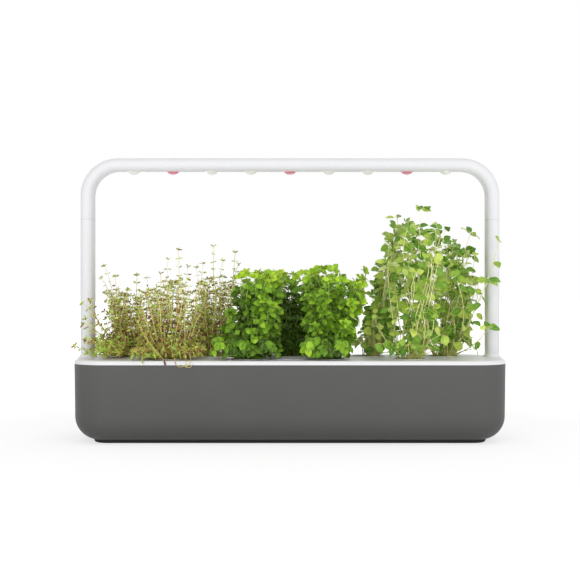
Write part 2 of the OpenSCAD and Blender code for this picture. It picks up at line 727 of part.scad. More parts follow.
reach_y = row_offset + crown_lean - crown_gap;

// One closed solid of the space that a plant fills: a crown over the foot of its stems, and a few sprigs
module plant(pod) {
    height = plants[pod - 1][0];
    lobes = plants[pod - 1][1];
    top = lobes[len(lobes) - 1];
    module at(x, y, z)
        translate([pod_x(pod) + x * reach_x(pod), pod_side(pod) * (row_offset + crown_lean + y * reach_y),
            lid_z + z * height]) children();
    color(pod <= 3 ? "olivedrab" : pod <= 6 ? "forestgreen" : "mediumseagreen") union() {
        hull() {
            translate([pod_x(pod), pod_y(pod), soil_z + plant_gap])
                cylinder(1, r = stem_cluster_radius, $fn = 20);
            for (lobe = lobes) at(lobe[0], lobe[1], lobe[2])
                scale([lobe[3] * reach_x(pod), lobe[4] * reach_y, lobe[5] * height]) sphere(1, $fn = 20);
        }
        for (tip = plants[pod - 1][2]) hull() {
            at(tip[0], tip[1], tip[2]) sphere(sprig_radius, $fn = 8);
            at((top[0] + tip[0]) / 2, (top[1] + tip[1]) / 2, top[2]) sphere(2 * sprig_radius, $fn = 8);
        }
    }
}

water_tank();
base_pad();
lid();
float_cage();
float();
extension_arm(-1);  // extension_arm_left
extension_arm(1);  // extension_arm_right
lamp_shell();
lamp_cover();
lenses_clear();
lenses_red();
led_board();
leds_white();
leds_red();
board_screws();
driver_module();
dc_inlet();
power_button();
for (pod = [1:pod_count]) {
    cup(pod);
    soil_plug(pod);
    wick(pod);
    plant(pod);
}
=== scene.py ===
import math
import random

import bmesh
import bpy
from mathutils import Matrix, Vector


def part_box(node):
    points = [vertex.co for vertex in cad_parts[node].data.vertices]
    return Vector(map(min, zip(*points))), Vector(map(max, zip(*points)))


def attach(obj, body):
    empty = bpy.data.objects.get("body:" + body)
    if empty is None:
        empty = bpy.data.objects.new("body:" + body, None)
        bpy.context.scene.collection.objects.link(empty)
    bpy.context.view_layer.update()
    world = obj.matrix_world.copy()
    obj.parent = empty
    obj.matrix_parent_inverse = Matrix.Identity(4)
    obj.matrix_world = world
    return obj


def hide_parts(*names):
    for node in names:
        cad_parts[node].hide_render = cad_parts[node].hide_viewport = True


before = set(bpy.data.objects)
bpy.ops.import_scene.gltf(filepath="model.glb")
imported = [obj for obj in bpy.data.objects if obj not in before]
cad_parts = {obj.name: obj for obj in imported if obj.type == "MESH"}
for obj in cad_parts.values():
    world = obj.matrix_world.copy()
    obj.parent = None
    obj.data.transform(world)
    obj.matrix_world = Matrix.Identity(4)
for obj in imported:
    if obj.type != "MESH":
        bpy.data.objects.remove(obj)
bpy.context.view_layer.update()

# Countertop hydroponic garden: a tank with a lid, nine herb pods and a light arch.
# The model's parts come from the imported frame. This file adds finishes, plants, lights and a camera.


# Helpers for modelling

def deselectAll():
    for thing in bpy.context.selected_objects:
        thing.select_set(False)


def activate(piece):
    deselectAll()
    piece.select_set(True)
    bpy.context.view_layer.objects.active = piece


def selectVertices(piece, test):
    # in edit mode, selects the vertices that pass the test
    bpy.ops.mesh.select_mode(type="VERT")
    bpy.ops.mesh.select_all(action="DESELECT")
    shape = bmesh.from_edit_mesh(piece.data)
    for corner in shape.verts:
        corner.select = bool(test(corner))
    shape.select_flush_mode()
    bmesh.update_edit_mesh(piece.data)


def applyModifier(piece, kind, **settings):
    modifier = piece.modifiers.new(kind, kind)
    for name, value in settings.items():
        setattr(modifier, name, value)
    activate(piece)
    bpy.ops.object.modifier_apply(modifier=modifier.name)


# Helpers for finishes

def linear(hexColour):
    # a colour written as sRGB hex, as linear light for a shader
    def channel(start):
        value = int(hexColour[start:start + 2], 16) / 255
        return value / 12.92 if value <= 0.04045 else ((value + 0.055) / 1.055) ** 2.4
    return (channel(1), channel(3), channel(5), 1.0)


def addNode(tree, kind, settings=None):
    # each setting is a property of the node, or an input's value, or a socket to link to that input
    node = tree.nodes.new("ShaderNode" + kind)
    for name, value in (settings or {}).items():
        if isinstance(name, str) and name not in node.inputs:
            setattr(node, name, value)
        elif isinstance(value, bpy.types.NodeSocket):
            tree.links.new(value, node.inputs[name])
        else:
            node.inputs[name].default_value = value
    return node


def newMaterial(name):
    material = bpy.data.materials.new(name)
    material.use_nodes = True
    material.node_tree.nodes.clear()
    return material


def finishWith(material, shader):
    addNode(material.node_tree, "OutputMaterial", {"Surface": shader.outputs[0]})
    return material


def dress(looks, makeFinish):
    # makes each finish and gives it to its parts of the frame
    for name, look in looks.items():
        material = makeFinish(name, look)
        for part in look["parts"]:
            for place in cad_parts[part].material_slots:
                place.material = material


# Camera and light

print("camera")

view = {
    "distance": 1.8,        # from the middle of the unit
    "height": 0.2205,
    "lens": 75.7,           # focal length in millimetres
    "sensor": 36,           # width of the sensor in millimetres
    "shiftUp": -0.0026,
    "sight": 60,            # how far the camera sees
}

cameraData = bpy.data.cameras.new("camera")
cameraData.sensor_width = view["sensor"]
cameraData.lens = view["lens"]
cameraData.shift_y = view["shiftUp"]
cameraData.clip_end = view["sight"]
camera = bpy.data.objects.new("camera", cameraData)
camera.location = (0, -view["distance"], view["height"])
camera.rotation_euler = (math.radians(90), 0, 0)
bpy.context.collection.objects.link(camera)
bpy.context.scene.camera = camera
bpy.context.scene.view_settings.view_transform = "Standard"

print("lights")


def seenDirectly(tree):
    # 1 for camera, glossy and transmission rays, which see the white studio, and 0 for all other rays
    path = addNode(tree, "LightPath")
    gloss = addNode(tree, "Math", {"operation": "MAXIMUM", 0: path.outputs["Is Camera Ray"],
                                   1: path.outputs["Is Glossy Ray"]})
    return addNode(tree, "Math", {"operation": "MAXIMUM", 0: gloss.outputs[0],
                                  1: path.outputs["Is Transmission Ray"]}).outputs[0]


worldLight = {
    "strength": 0.79,       # light from all round
    "left": 0.3,            # share of it that comes from the far left
    "right": 0.82,          # share of it that comes from the far right
    "dimFrom": 0.3,         # it dims from here, where 0 is straight ahead and 1 right at the side ...
    "dimTo": 0.95,          # ... to here
}

world = bpy.data.worlds.new("studio")
world.use_nodes = True
tree = world.node_tree
tree.nodes.clear()
directions = addNode(tree, "TexCoord").outputs["Generated"]
sideways = addNode(tree, "SeparateXYZ", {0: directions}).outputs["X"]
leftShare = addNode(tree, "MapRange", {0: sideways, 1: -worldLight["dimFrom"], 2: -worldLight["dimTo"],
                                       3: worldLight["strength"],
                                       4: worldLight["strength"] * worldLight["left"]})
rightShare = addNode(tree, "MapRange", {0: sideways, 1: worldLight["dimFrom"], 2: worldLight["dimTo"],
                                        3: 1.0, 4: worldLight["right"]})
share = addNode(tree, "Math", {"operation": "MULTIPLY", 0: leftShare.outputs[0],
                               1: rightShare.outputs[0]})
dim = addNode(tree, "Background", {"Color": linear("#ffffff"), "Strength": share.outputs[0]})
white = addNode(tree, "Background", {"Color": linear("#ffffff"), "Strength": 1.0})
sky = addNode(tree, "MixShader", {0: seenDirectly(tree), 1: dim.outputs[0], 2: white.outputs[0]})
addNode(tree, "OutputWorld", {"Surface": sky.outputs[0]})
bpy.context.scene.world = world

softboxes = {
    "frontSoftbox": {"place": (0, -2.6, 0.8), "width": 1.6, "height": 1.2, "watts": 9},
    "leftSoftbox": {"place": (-0.95, -2.2, 0.7), "width": 0.3, "height": 1.2, "watts": 3},
    "rightSoftbox": {"place": (0.95, -2.2, 0.7), "width": 0.3, "height": 1.2, "watts": 3},
    "topSoftbox": {"place": (0, -1.1, 2.2), "width": 2.2, "height": 1.2, "watts": 6},
}
softboxAim = Vector((0, 0, 0.2))        # the middle of the unit

for name, softbox in softboxes.items():
    data = bpy.data.lights.new(name, "AREA")
    data.shape = "RECTANGLE"
    data.size = softbox["width"]
    data.size_y = softbox["height"]
    data.energy = softbox["watts"]
    lamp = bpy.data.objects.new(name, data)
    lamp.location = softbox["place"]
    lamp.rotation_euler = (softboxAim - lamp.location).to_track_quat("-Z", "Y").to_euler()
    bpy.context.collection.objects.link(lamp)

table = {
    "size": 40,
    "colour": "#e6e6e6",    # as the unit sees it
    "oval": 0.4,            # the zone close to the unit is an oval: its width counts this much
    "zone": (0.15, 0.35),   # that zone ends here, and the open table begins there
    "nearLight": 0.03,      # light that the table gives off by itself close to the unit
    "openLight": 0.6,       # the same on the open table
    "lit": 0.36,            # how much of the light and the shadow on the floor is seen
    "glow": 0.70,           # how white the floor near the unit is in any case
    "fade": (0.5, 1.5),     # from here to there that white rises to 1
}

deselectAll()
bpy.ops.mesh.primitive_plane_add(size=table["size"])
floor = bpy.context.object
floor.name = "floor"
floorPaint = newMaterial("matt white studio floor")
tree = floorPaint.node_tree
spot = addNode(tree, "TexCoord").outputs["Object"]
away = addNode(tree, "VectorMath", {"operation": "LENGTH", 0: spot})
flatter = addNode(tree, "VectorMath", {"operation": "MULTIPLY", 0: spot, 1: (table["oval"], 1, 1)})
beside = addNode(tree, "VectorMath", {"operation": "LENGTH", 0: flatter.outputs[0]})
spread = addNode(tree, "MapRange", {0: beside.outputs["Value"], 1: table["zone"][0], 2: table["zone"][1],
                                    3: table["nearLight"], 4: table["openLight"]})
bounce = addNode(tree, "AddShader", {
    0: addNode(tree, "BsdfDiffuse", {"Color": linear(table["colour"])}).outputs[0],
    1: addNode(tree, "Emission", {"Color": linear("#ffffff"), "Strength": spread.outputs[0]}).outputs[0]})
lit = addNode(tree, "BsdfDiffuse", {"Color": (table["lit"],) * 3 + (1,)})
fade = addNode(tree, "MapRange", {0: away.outputs["Value"], 1: table["fade"][0], 2: table["fade"][1],
                                  3: table["glow"], 4: 1.0})
glow = addNode(tree, "Emission", {"Color": linear("#ffffff"), "Strength": fade.outputs[0]})
seen = addNode(tree, "AddShader", {0: lit.outputs[0], 1: glow.outputs[0]})
finishWith(floorPaint, addNode(tree, "MixShader",
                               {0: seenDirectly(tree), 1: bounce.outputs[0], 2: seen.outputs[0]}))
floor.data.materials.append(floorPaint)

# Finishes of the frame's parts

print("finishes")

pods = range(1, 10)

# two close tones, roughness, size of the grain in metres, its relief, and how much the surface mirrors;
# real grain is about a third of that size, and is drawn as coarse as it needs to show
plastics = {
    "injection-moulded ABS, spark-eroded": {        # even, with a broad soft sheen
        "parts": ["water_tank"],
        "dark": "#5a5a59", "pale": "#5f5f5e", "rough": 0.45, "grain": 0.0009, "bump": 0.10, "gloss": 0.1,
    },
    "moulded silicone": {       # dull and nearly black
        "parts": ["base_pad"],
        "dark": "#262626", "pale": "#2d2d2d", "rough": 0.75, "grain": 0.0012, "bump": 0.1, "gloss": 0.3,
    },
    "injection-moulded white ABS, fine satin": {        # white with a soft mirror of the studio
        "parts": ["lid"],
        "dark": "#e5e5e6", "pale": "#e8e8e9", "rough": 0.34, "grain": 0.0008, "bump": 0.05, "gloss": 0.3,
    },
    "injection-moulded white ABS, matt": {      # the same plastic, smooth and hardly shiny
        "parts": ["extension_arm_left", "extension_arm_right", "lamp_shell", "lamp_cover", "power_button"],
        "dark": "#dfdfe2", "pale": "#e2e2e5", "rough": 0.45, "grain": 0.0008, "bump": 0.04, "gloss": 0.08,
        "seam": "#c4c4c7",      # painted shade in the narrow groove where an arm meets the arch
    },
    "injection-moulded natural polypropylene": {        # milky and slightly waxy
        "parts": ["float_cage"] + [f"cup_{pod}" for pod in pods],
        "dark": "#e6e6e2", "pale": "#eeeeea", "rough": 0.36, "grain": 0.001, "bump": 0.05, "gloss": 0.4,
    },
    "blow-moulded orange polyethylene": {       # a plain bright colour with a waxy shine
        "parts": ["float"],
        "dark": "#e07a1e", "pale": "#ea8a2c", "rough": 0.4, "grain": 0.001, "bump": 0.05, "gloss": 0.4,
    },
    "injection-moulded black nylon": {      # black with a grey shine
        "parts": ["dc_inlet"],
        "dark": "#1b1b1b", "pale": "#242424", "rough": 0.45, "grain": 0.0009, "bump": 0.1, "gloss": 0.4,
    },
}

moulding = {
    "flow": 9.0,            # slow changes of tone in a metre, from the way the melt ran
    "uneven": 0.06,         # how far the roughness strays, up and down
    "seamBelow": 0.0003,    # the middle of the painted seam shade, below the top of an arm
    "seamHalf": 0.00022,    # half the height of that shade
}


def mouldedPlastic(name, look):
    material = newMaterial(name)
    tree = material.node_tree
    place = addNode(tree, "TexCoord").outputs["Object"]
    grain = addNode(tree, "TexNoise", {"Vector": place, "Scale": 1 / look["grain"], "Detail": 2.0})
    flow = addNode(tree, "TexNoise", {"Vector": place, "Scale": moulding["flow"], "Detail": 3.0})
    tone = addNode(tree, "Mix", {"data_type": "RGBA", 0: flow.outputs[0],
                                 6: linear(look["dark"]), 7: linear(look["pale"])})
    # painted shade: a grey band at the height of the groove between an arm and the arch
    if "seam" in look:
        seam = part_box("extension_arm_left")[1].z - moulding["seamBelow"]
        within = addNode(tree, "Math", {"operation": "COMPARE", 1: seam, 2: moulding["seamHalf"],
                                        0: addNode(tree, "SeparateXYZ", {0: place}).outputs["Z"]})
        tone = addNode(tree, "Mix", {"data_type": "RGBA", 0: within.outputs[0], 6: tone.outputs[2],
                                     7: linear(look["seam"])})
    rough = addNode(tree, "MapRange", {0: grain.outputs[0], 3: look["rough"] - moulding["uneven"],
                                       4: look["rough"] + moulding["uneven"]})
    bump = addNode(tree, "Bump", {"Strength": look["bump"], "Distance": look["grain"] / 2,
                                  "Height": grain.outputs[0]})
    return finishWith(material, addNode(tree, "BsdfPrincipled", {
        "Base Color": tone.outputs[2], "Roughness": rough.outputs[0], "Normal": bump.outputs[0],
        "IOR": 1.5, "Specular IOR Level": look["gloss"]}))


dress(plastics, mouldedPlastic)

# colours of the dome, of the ring round it and of the flange, share of light that passes, and roughness
lenses = {
    "moulded polycarbonate, frosted inside": {      # milky, with a glossy outside
        "parts": ["lenses_clear"],
        "dome": "#fbfaf8", "ring": "#f2f2ec", "flange": "#f6f5f0", "through": 0.1, "rough": 0.2,
    },
    "moulded red polycarbonate, frosted inside": {      # red on its side, with a pale pink painted highlight on its dome
        "parts": ["lenses_red"],
        "dome": "#fcc2d0", "ring": "#d88496", "flange": "#f8d0d8", "through": 0.1, "rough": 0.16,
    },
}

lensForm = {
    "ring": (0.0052, 0.007),        # from the axis, where the dome ends and the ring round it begins
    "flange": (0.0084, 0.0093),     # where the ring ends and the flange begins
    "frost": 900.0,                 # grains of the frosted face in a metre
    "smoother": 0.05,               # how far the roughness strays down ...
    "rougher": 0.08,                # ... and up
}


def frostedLens(name, look):
    material = newMaterial(name)
    tree = material.node_tree
    place = addNode(tree, "TexCoord").outputs["Object"]
    frost = addNode(tree, "TexNoise", {"Vector": place, "Scale": lensForm["frost"], "Detail": 2.0})
    rough = addNode(tree, "MapRange", {0: frost.outputs[0], 3: look["rough"] - lensForm["smoother"],
                                       4: look["rough"] + lensForm["rougher"]})
    # distance from the axis of the nearest lens; their axes are a pod's pitch apart
    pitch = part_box("cup_2")[0].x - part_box("cup_1")[0].x
    spot = addNode(tree, "SeparateXYZ", {0: place})
    aside = addNode(tree, "Math", {"operation": "PINGPONG", 0: spot.outputs["X"], 1: pitch / 2})
    flat = addNode(tree, "CombineXYZ", {"X": aside.outputs[0], "Y": spot.outputs["Y"]})
    away = addNode(tree, "VectorMath", {"operation": "LENGTH", 0: flat.outputs[0]}).outputs["Value"]
    # near the axis the dome's colour, which on the red lens is a painted highlight
    tone = linear(look["dome"])
    for zone in ("ring", "flange"):
        start, end = lensForm[zone]
        within = addNode(tree, "MapRange", {0: away, 1: start, 2: end})
        tone = addNode(tree, "Mix", {"data_type": "RGBA", 0: within.outputs[0], 6: tone,
                                     7: linear(look[zone])}).outputs[2]
    return finishWith(material, addNode(tree, "BsdfPrincipled", {
        "Base Color": tone, "Roughness": rough.outputs[0], "IOR": 1.58,
        "Transmission Weight": look["through"]}))


dress(lenses, frostedLens)

# two colours in specks of a real size in metres
specks = {
    "coir growing medium": {        # dark, rough and dry
        "parts": [f"soil_plug_{pod}" for pod in pods],
        "dark": "#241a10", "pale": "#4d3824", "speck": 0.0022, "rough": 0.95, "bump": 0.9,
    },
    "woven wick felt": {        # undyed, matt and fibrous
        "parts": [f"wick_{pod}" for pod in pods],
        "dark": "#cfc8b4", "pale": "#ece7d8", "speck": 0.0009, "rough": 0.9, "bump": 0.5,
    },
    "solder-masked circuit board": {        # even green lacquer with a shine
        "parts": ["led_board"],
        "dark": "#11522c", "pale": "#17633a", "speck": 0.004, "rough": 0.35, "bump": 0.05,
    },
    "zinc-plated steel": {      # bright cool metal
        "parts": ["board_screws"],
        "dark": "#b4b6b8", "pale": "#cfd1d3", "speck": 0.0012, "rough": 0.3, "bump": 0.1, "metal": 1.0,
    },
    "phosphor of a white diode": {      # pale yellow while it's off
        "parts": ["leds_white"],
        "dark": "#e9dc8e", "pale": "#f2e8a8", "speck": 0.0012, "rough": 0.4, "bump": 0.1,
    },
    "epoxy of a red diode": {       # deep red
        "parts": ["leds_red"],
        "dark": "#8e1c22", "pale": "#a8262c", "speck": 0.0012, "rough": 0.3, "bump": 0.1,
    },
    "lacquered driver board": {     # darker green, with coarse specks for its small components
        "parts": ["driver_module"],
        "dark": "#0f3d22", "pale": "#1c5a35", "speck": 0.003, "rough": 0.4, "bump": 0.1,
    },
}


def speckled(name, look):
    material = newMaterial(name)
    tree = material.node_tree
    place = addNode(tree, "TexCoord").outputs["Object"]
    noise = addNode(tree, "TexNoise", {"Vector": place, "Scale": 1 / look["speck"], "Detail": 4.0})
    spread = addNode(tree, "MapRange", {0: noise.outputs[0], 1: 0.35, 2: 0.65})     # sharper edges
    tone = addNode(tree, "Mix", {"data_type": "RGBA", 0: spread.outputs[0],
                                 6: linear(look["dark"]), 7: linear(look["pale"])})
    relief = addNode(tree, "Bump", {"Strength": look["bump"], "Distance": look["speck"] / 3,
                                    "Height": noise.outputs[0]})
    return finishWith(material, addNode(tree, "BsdfPrincipled", {
        "Base Color": tone.outputs[2], "Roughness": look["rough"], "Metallic": look.get("metal", 0.0),
        "Normal": relief.outputs[0]}))


dress(specks, speckled)

# Herbs

print("herbs")

leafShapes = {
    # rows from base to tip: (place along the leaf, half width, lift), as shares of its length
    "thyme": {"rows": [(0, 0, 0), (0.22, 0.15, 0.03), (0.6, 0.19, 0.04), (1, 0, -0.02)],
              "fold": 0.05, "thick": 0.035},
    "bush": {"rows": [(0, 0, 0), (0.1, 0.19, 0.02), (0.3, 0.34, 0.05), (0.56, 0.34, 0.05),
                      (0.82, 0.19, 0.0), (1, 0, -0.09)],
             "fold": 0.07, "thick": 0.02},
    "oregano": {"rows": [(0, 0, 0), (0.07, 0.17, 0.01), (0.2, 0.31, 0.04), (0.4, 0.37, 0.07),
                         (0.62, 0.31, 0.06), (0.84, 0.16, 0.0), (1, 0, -0.1)],
                "fold": 0.08, "thick": 0.017},
}


def makeLeaf(name, shape, upper, under):
    # one leaf, 1 m long for scaling, from a grid: base at the origin, tip along Y, upper face up
    rows = shape["rows"]
    last = len(rows) - 1
    deselectAll()
    bpy.ops.mesh.primitive_grid_add(x_subdivisions=2, y_subdivisions=last, size=1)
    leaf = bpy.context.object
    leaf.name = name
    # column 0 to 2 across the leaf and row 0 to the last along it, for each vertex
    spots = [(round((v.co.x + 0.5) * 2), round((v.co.y + 0.5) * last)) for v in leaf.data.vertices]
    bpy.ops.object.mode_set(mode="EDIT")
    for number, (along, half, lift) in enumerate(rows):
        selectVertices(leaf, lambda v: spots[v.index][1] == number)
        start = number / last - 0.5
        bpy.ops.transform.resize(value=(max(half * 2, 0.001), 1, 1), center_override=(0, start, 0))
        bpy.ops.transform.translate(value=(0, along - start, lift))
    selectVertices(leaf, lambda v: spots[v.index][0] == 1 and 0 < spots[v.index][1] < last)
    bpy.ops.transform.translate(value=(0, 0, -shape["fold"]))
    bpy.ops.mesh.select_all(action="SELECT")
    bpy.ops.mesh.remove_doubles(threshold=0.01)     # closes the base and the tip
    bpy.ops.object.mode_set(mode="OBJECT")
    leaf.data.materials.append(upper)
    leaf.data.materials.append(under)
    applyModifier(leaf, "SOLIDIFY", thickness=shape["thick"], offset=-1, material_offset=1,
                  material_offset_rim=1)
    bpy.ops.object.shade_smooth_by_angle(angle=math.radians(60))
    leaf.data.attributes.new("leafTone", "FLOAT", "POINT")
    return leaf


leafSurface = {
    # across a leaf 0 is the midrib and 0.5 the edge; along it 0 is the base and 1 the tip
    "midrib": (0.03, 0.09),     # the midrib's ridge ends here, and its foot there
    "slant": -0.9,              # how much the side veins lean towards the tip
    "veinWaves": 44.0,          # 7 pairs of side veins, times two pi
    "veinSharp": (0.6, 1.0),    # the part of each wave that is a vein
    "veinHeight": 0.5,          # as a share of the midrib's
    "veinPale": 0.22,           # how much of the underside's colour shows along the veins
    "relief": 0.35,
    "reliefDepth": 0.0004,
    "blotch": 160.0,            # soft patches in a metre, smaller than a leaf
    "blotchDark": 0.82,
    "blotchPale": 1.14,
    "gloss": 0.25,
    "roughUpper": 0.42,
    "roughUnder": 0.6,
}


def leafFinish(name, tones, under, rough):
    # a living leaf: waxy, with paler veins; the tone of each leaf is its own attribute
    look = leafSurface
    material = newMaterial(name)
    tree = material.node_tree
    tone = addNode(tree, "Attribute", {"attribute_name": "leafTone"})
    ramp = addNode(tree, "ValToRGB", {"Fac": tone.outputs["Fac"]})
    stops = ramp.color_ramp.elements
    while len(stops) < len(tones):
        stops.new(0.5)
    for stop, (place, colour) in zip(stops, tones):
        stop.position = place
        stop.color = linear(colour)
    uv = addNode(tree, "SeparateXYZ", {0: addNode(tree, "UVMap").outputs[0]})
    across = addNode(tree, "Math", {"operation": "SUBTRACT", 0: uv.outputs["X"], 1: 0.5})
    off = addNode(tree, "Math", {"operation": "ABSOLUTE", 0: across.outputs[0]})
    midrib = addNode(tree, "MapRange", {0: off.outputs[0], 1: look["midrib"][0], 2: look["midrib"][1],
                                        3: 1.0, 4: 0.0})
    slant = addNode(tree, "Math", {"operation": "MULTIPLY_ADD", 0: off.outputs[0], 1: look["slant"],
                                   2: uv.outputs["Y"]})
    angle = addNode(tree, "Math", {"operation": "MULTIPLY", 0: slant.outputs[0], 1: look["veinWaves"]})
    wave = addNode(tree, "Math", {"operation": "SINE", 0: angle.outputs[0]})
    veins = addNode(tree, "MapRange", {0: wave.outputs[0], 1: look["veinSharp"][0], 2: look["veinSharp"][1],
                                       3: 0.0, 4: look["veinHeight"]})
    lines = addNode(tree, "Math", {"operation": "MAXIMUM", 0: midrib.outputs[0], 1: veins.outputs[0]})
    place = addNode(tree, "TexCoord").outputs["Object"]
    blotch = addNode(tree, "TexNoise", {"Vector": place, "Scale": look["blotch"], "Detail": 2.0})
    shade = addNode(tree, "MapRange", {0: blotch.outputs[0], 1: 0.3, 2: 0.7,
                                       3: look["blotchDark"], 4: look["blotchPale"]})
    body = addNode(tree, "Mix", {"data_type": "RGBA", "blend_type": "MULTIPLY", 0: 1.0,
                                 6: ramp.outputs[0], 7: shade.outputs[0]})
    pale = addNode(tree, "Math", {"operation": "MULTIPLY", 0: lines.outputs[0], 1: look["veinPale"]})
    veined = addNode(tree, "Mix", {"data_type": "RGBA", 0: pale.outputs[0],
                                   6: body.outputs[2], 7: linear(under)})
    relief = addNode(tree, "Bump", {"Strength": look["relief"], "Distance": look["reliefDepth"],
                                    "Height": lines.outputs[0]})
    return finishWith(material, addNode(tree, "BsdfPrincipled", {
        "Base Color": veined.outputs[2], "Roughness": rough, "Normal": relief.outputs[0],
        "Specular IOR Level": look["gloss"]}))


stemSurface = {
    "foot": 0.12,           # height at which a stem has its lower colour
    "top": 0.26,            # height at which it has its upper colour
    "streak": 120.0,        # changes of tone in a metre
    "streaky": 0.5,         # how strong they are
    "rough": 0.5,
}


def stemFinish(name, low, high):
    # a soft green stem, paler towards its tip
    look = stemSurface
    material = newMaterial(name)
    tree = material.node_tree
    place = addNode(tree, "TexCoord").outputs["Object"]
    height = addNode(tree, "MapRange", {0: addNode(tree, "SeparateXYZ", {0: place}).outputs["Z"],
                                        1: look["foot"], 2: look["top"]})
    streak = addNode(tree, "TexNoise", {"Vector": place, "Scale": look["streak"], "Detail": 2.0})
    mixed = addNode(tree, "Math", {"operation": "MULTIPLY_ADD", 0: streak.outputs[0], 1: look["streaky"],
                                   2: height.outputs[0]})
    tone = addNode(tree, "Mix", {"data_type": "RGBA", 0: mixed.outputs[0], 6: linear(low), 7: linear(high)})
    return finishWith(material, addNode(tree, "BsdfPrincipled", {
        "Base Color": tone.outputs[2], "Roughness": look["rough"]}))


